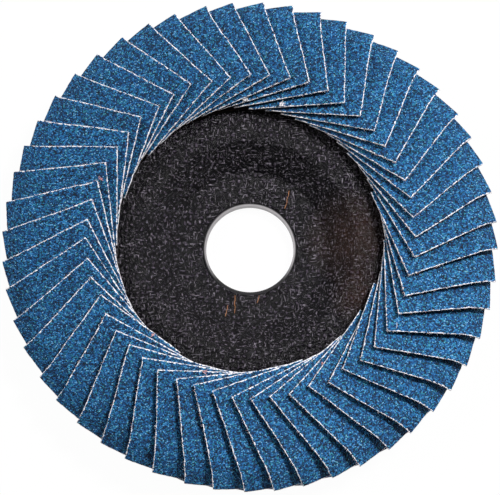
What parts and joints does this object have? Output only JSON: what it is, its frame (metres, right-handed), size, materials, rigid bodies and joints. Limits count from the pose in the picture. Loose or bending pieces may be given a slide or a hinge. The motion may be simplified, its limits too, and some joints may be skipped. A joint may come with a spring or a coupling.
{
  "type": "flap disc",
  "caption": "Round dished grinding disc: a fan of overlapping abrasive cloth flaps on a glass-fibre backing plate with a steel-lined bore.",
  "frame": {"origin": "on the bore axis, in the plane of the back of the bore ring's flange, which is the seat on the grinder's inner flange", "axes": "+Z along the bore axis towards the abrasive side, +X and +Y to the right and the top of the picture"},
  "size_m": [0.1251, 0.1251, 0.0172],
  "materials": {
    "glass_fibre": "resin-bonded woven glass fibre, semi-matt",
    "steel": "zinc-plated pressed steel",
    "resin": "cured resin",
    "abrasive_cloth": "abrasive grit on cloth, matt and rough"
  },
  "bodies": {
    "root": {"backing_plate": "glass_fibre", "bore_ring": "steel", "adhesive_bed": "resin", "flap_01": "abrasive_cloth", "flap_02": "abrasive_cloth", "flap_03": "abrasive_cloth", "flap_04": "abrasive_cloth", "flap_05": "abrasive_cloth", "flap_06": "abrasive_cloth", "flap_07": "abrasive_cloth", "flap_08": "abrasive_cloth", "flap_09": "abrasive_cloth", "flap_10": "abrasive_cloth", "flap_11": "abrasive_cloth", "flap_12": "abrasive_cloth", "flap_13": "abrasive_cloth", "flap_14": "abrasive_cloth", "flap_15": "abrasive_cloth", "flap_16": "abrasive_cloth", "flap_17": "abrasive_cloth", "flap_18": "abrasive_cloth", "flap_19": "abrasive_cloth", "flap_20": "abrasive_cloth", "flap_21": "abrasive_cloth", "flap_22": "abrasive_cloth", "flap_23": "abrasive_cloth", "flap_24": "abrasive_cloth", "flap_25": "abrasive_cloth", "flap_26": "abrasive_cloth", "flap_27": "abrasive_cloth", "flap_28": "abrasive_cloth", "flap_29": "abrasive_cloth", "flap_30": "abrasive_cloth", "flap_31": "abrasive_cloth", "flap_32": "abrasive_cloth", "flap_33": "abrasive_cloth", "flap_34": "abrasive_cloth", "flap_35": "abrasive_cloth", "flap_36": "abrasive_cloth", "flap_37": "abrasive_cloth", "flap_38": "abrasive_cloth", "flap_39": "abrasive_cloth", "flap_40": "abrasive_cloth", "flap_41": "abrasive_cloth", "flap_42": "abrasive_cloth", "flap_43": "abrasive_cloth", "flap_44": "abrasive_cloth", "flap_45": "abrasive_cloth", "flap_46": "abrasive_cloth", "flap_47": "abrasive_cloth", "flap_48": "abrasive_cloth", "flap_49": "abrasive_cloth", "flap_50": "abrasive_cloth", "flap_51": "abrasive_cloth", "flap_52": "abrasive_cloth"}
  },
  "joints": []
}
